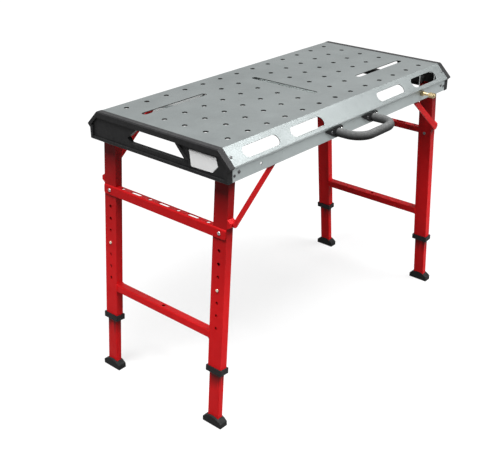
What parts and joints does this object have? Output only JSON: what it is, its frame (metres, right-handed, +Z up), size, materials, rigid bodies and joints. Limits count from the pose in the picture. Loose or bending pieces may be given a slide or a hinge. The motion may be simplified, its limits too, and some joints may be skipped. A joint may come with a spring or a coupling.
{
  "type": "portable welding table",
  "caption": "Folding welding table: perforated sheet-steel top with bevelled sides, plastic end caps, two folding red leg frames with telescopic legs, a side handle and a brass earth stud.",
  "frame": {"origin": "on the floor, under the centre of the whole outline seen from above", "axes": "+X along the table to the right end (the end near the earth stud), -Y towards the handle side, +Z up"},
  "size_m": [1.193, 0.6602, 0.8606],
  "materials": {
    "galvanised_sheet": "satin galvanised",
    "zinc_plated": "bright zinc",
    "red_paint": "gloss powder coat",
    "black_plastic": "fine grain",
    "black_rubber": "matt",
    "black_foam": "foam sleeve",
    "brass": "machined",
    "dark_steel": "black oxide",
    "white_plate": "plain"
  },
  "bodies": {
    "worktop": {"table_top": "galvanised_sheet", "centre_stiffener": "zinc_plated", "left_end_cap": "black_plastic", "right_end_cap": "black_plastic", "blank_label_plate": "white_plate", "cap_screws": "dark_steel", "left_hinge_brackets": "zinc_plated", "right_hinge_brackets": "zinc_plated", "hinge_pins": "zinc_plated", "bracket_screws": "zinc_plated", "left_stay_guides": "zinc_plated", "right_stay_guides": "zinc_plated", "guide_rivets": "galvanised_sheet", "handle_tube": "zinc_plated", "handle_grip": "black_foam", "handle_brackets": "black_plastic", "handle_screws": "zinc_plated", "earth_stud": "brass", "earth_nuts": "brass"},
    "left_leg_frame": {"left_front_leg": "red_paint", "left_rear_leg": "red_paint", "left_crossbar": "red_paint", "left_tool_rail": "red_paint", "left_rail_screws": "zinc_plated", "left_collars": "black_plastic", "left_lugs": "red_paint", "left_lug_rivets": "red_paint"},
    "left_front_stay": {"left_front_stay": "red_paint"},
    "left_front_lower_leg": {"left_front_inner_leg": "red_paint", "left_front_foot": "black_rubber", "left_front_spring": "zinc_plated"},
    "left_front_button": {"left_front_button": "zinc_plated"},
    "left_rear_stay": {"left_rear_stay": "red_paint"},
    "left_rear_lower_leg": {"left_rear_inner_leg": "red_paint", "left_rear_foot": "black_rubber", "left_rear_spring": "zinc_plated"},
    "left_rear_button": {"left_rear_button": "zinc_plated"},
    "right_leg_frame": {"right_front_leg": "red_paint", "right_rear_leg": "red_paint", "right_crossbar": "red_paint", "right_tool_rail": "red_paint", "right_rail_screws": "zinc_plated", "right_collars": "black_plastic", "right_lugs": "red_paint", "right_lug_rivets": "red_paint"},
    "right_front_stay": {"right_front_stay": "red_paint"},
    "right_front_lower_leg": {"right_front_inner_leg": "red_paint", "right_front_foot": "black_rubber", "right_front_spring": "zinc_plated"},
    "right_front_button": {"right_front_button": "zinc_plated"},
    "right_rear_stay": {"right_rear_stay": "red_paint"},
    "right_rear_lower_leg": {"right_rear_inner_leg": "red_paint", "right_rear_foot": "black_rubber", "right_rear_spring": "zinc_plated"},
    "right_rear_button": {"right_rear_button": "zinc_plated"}
  },
  "joints": [
    {"name": "left_frame_fold", "type": "hinge", "parent": "worktop", "child": "left_leg_frame", "pos_m": [-0.51521, 0.04723, 0.8125], "axis": [0, -1, 0], "range_deg": [0, 94.7]},
    {"name": "left_front_stay_swing", "type": "hinge", "parent": "left_leg_frame", "child": "left_front_stay", "pos_m": [-0.5225, -0.21577, 0.643], "axis": [0, -1, 0], "range_deg": [-136.2, 0]},
    {"name": "left_front_height_slide", "type": "slide", "parent": "left_leg_frame", "child": "left_front_lower_leg", "axis": [0.0819, 0, 0.9966], "range_m": [-0.12, 0.12]},
    {"name": "left_front_button_press", "type": "slide", "parent": "left_front_lower_leg", "child": "left_front_button", "axis": [0.9966, 0, -0.0819], "range_m": [0, 0.0055], "stiffness_N_per_m": 1500, "springref_m": -0.005},
    {"name": "left_rear_stay_swing", "type": "hinge", "parent": "left_leg_frame", "child": "left_rear_stay", "pos_m": [-0.5225, 0.31023, 0.643], "axis": [0, -1, 0], "range_deg": [-136.2, 0]},
    {"name": "left_rear_height_slide", "type": "slide", "parent": "left_leg_frame", "child": "left_rear_lower_leg", "axis": [0.0819, 0, 0.9966], "range_m": [-0.12, 0.12]},
    {"name": "left_rear_button_press", "type": "slide", "parent": "left_rear_lower_leg", "child": "left_rear_button", "axis": [0.9966, 0, -0.0819], "range_m": [0, 0.0055], "stiffness_N_per_m": 1500, "springref_m": -0.005},
    {"name": "right_frame_fold", "type": "hinge", "parent": "worktop", "child": "right_leg_frame", "pos_m": [0.51796, 0.04723, 0.779], "axis": [0, 1, 0], "range_deg": [0, 94.7]},
    {"name": "right_front_stay_swing", "type": "hinge", "parent": "right_leg_frame", "child": "right_front_stay", "pos_m": [0.5225, -0.21577, 0.643], "axis": [0, 1, 0], "range_deg": [-131.2, 0]},
    {"name": "right_front_height_slide", "type": "slide", "parent": "right_leg_frame", "child": "right_front_lower_leg", "axis": [-0.0819, 0, 0.9966], "range_m": [-0.12, 0.12]},
    {"name": "right_front_button_press", "type": "slide", "parent": "right_front_lower_leg", "child": "right_front_button", "axis": [-0.9966, 0, -0.0819], "range_m": [0, 0.0055], "stiffness_N_per_m": 1500, "springref_m": -0.005},
    {"name": "right_rear_stay_swing", "type": "hinge", "parent": "right_leg_frame", "child": "right_rear_stay", "pos_m": [0.5225, 0.31023, 0.643], "axis": [0, 1, 0], "range_deg": [-131.2, 0]},
    {"name": "right_rear_height_slide", "type": "slide", "parent": "right_leg_frame", "child": "right_rear_lower_leg", "axis": [-0.0819, 0, 0.9966], "range_m": [-0.12, 0.12]},
    {"name": "right_rear_button_press", "type": "slide", "parent": "right_rear_lower_leg", "child": "right_rear_button", "axis": [-0.9966, 0, -0.0819], "range_m": [0, 0.0055], "stiffness_N_per_m": 1500, "springref_m": -0.005}
  ],
  "couplings": [
    {"joint": "left_front_stay_swing", "follows": "left_frame_fold", "ratio": -1.4329},
    {"joint": "left_rear_stay_swing", "follows": "left_frame_fold", "ratio": -1.4329},
    {"joint": "right_front_stay_swing", "follows": "right_frame_fold", "ratio": -1.3801},
    {"joint": "right_rear_stay_swing", "follows": "right_frame_fold", "ratio": -1.3801}
  ]
}
